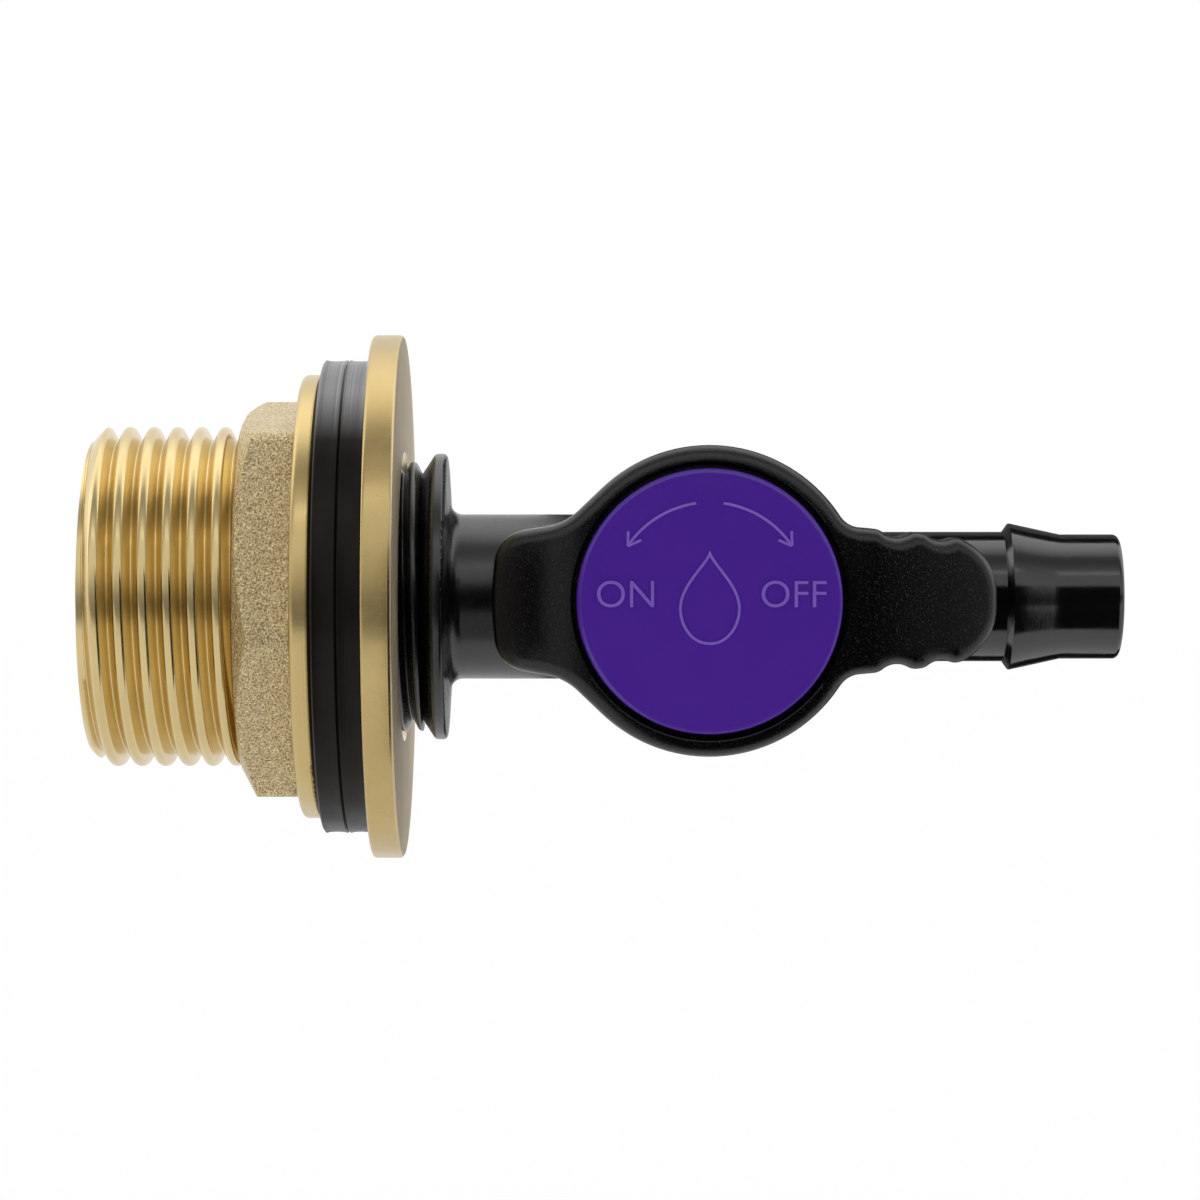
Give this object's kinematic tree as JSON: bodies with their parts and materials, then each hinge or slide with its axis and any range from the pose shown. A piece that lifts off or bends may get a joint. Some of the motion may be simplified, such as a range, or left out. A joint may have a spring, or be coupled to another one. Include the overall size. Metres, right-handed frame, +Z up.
{
  "type": "water butt tap",
  "caption": "Quarter-turn lever valve with a barbed hose tail, screwed into a brass flanged tank outlet that a backnut and rubber washers clamp to a tank wall.",
  "frame": {"origin": "on the flow axis, in the plane where the two rubber washers grip the tank wall", "axes": "+X along the flow towards the hose barb, +Z up, the handle faces -Y"},
  "size_m": [0.0995, 0.0508, 0.0508],
  "materials": {
    "brass": "turned, satin",
    "cast_brass": "sand cast hexagon, turned collar",
    "rubber": "satin",
    "body_plastic": "semi gloss",
    "handle_plastic": "fine spark texture",
    "cap_plastic": "gloss",
    "inner_plastic": "natural",
    "stainless": "plain"
  },
  "bodies": {
    "fitting": {"flanged_spigot": "brass", "outer_washer": "rubber", "socket_washer": "rubber", "valve_body": "body_plastic", "seal_sleeve": "inner_plastic", "thrust_washer": "inner_plastic", "bonnet": "body_plastic", "bonnet_o_ring": "rubber"},
    "tank_washer": {"inner_washer": "rubber"},
    "nut": {"backnut": "cast_brass"},
    "lever": {"spindle": "inner_plastic", "stem_o_ring_lower": "rubber", "stem_o_ring_upper": "rubber", "handle": "handle_plastic", "handle_screw": "stainless", "handle_cap": "cap_plastic"}
  },
  "joints": [
    {"name": "nut_travel", "type": "slide", "parent": "fitting", "child": "tank_washer", "axis": [-1, 0, 0], "range_m": [0, 0.01155]},
    {"name": "nut_turn", "type": "hinge", "parent": "tank_washer", "child": "nut", "pos_m": [0, 0, 0], "axis": [-1, 0, 0], "range_deg": [0, 1800]},
    {"name": "handle_turn", "type": "hinge", "parent": "fitting", "child": "lever", "pos_m": [0.0345, 0, 0], "axis": [0, 1, 0], "range_deg": [0, 90]}
  ],
  "couplings": [
    {"joint": "nut_travel", "follows": "nut_turn", "m_per_rad": 0.00036749}
  ]
}
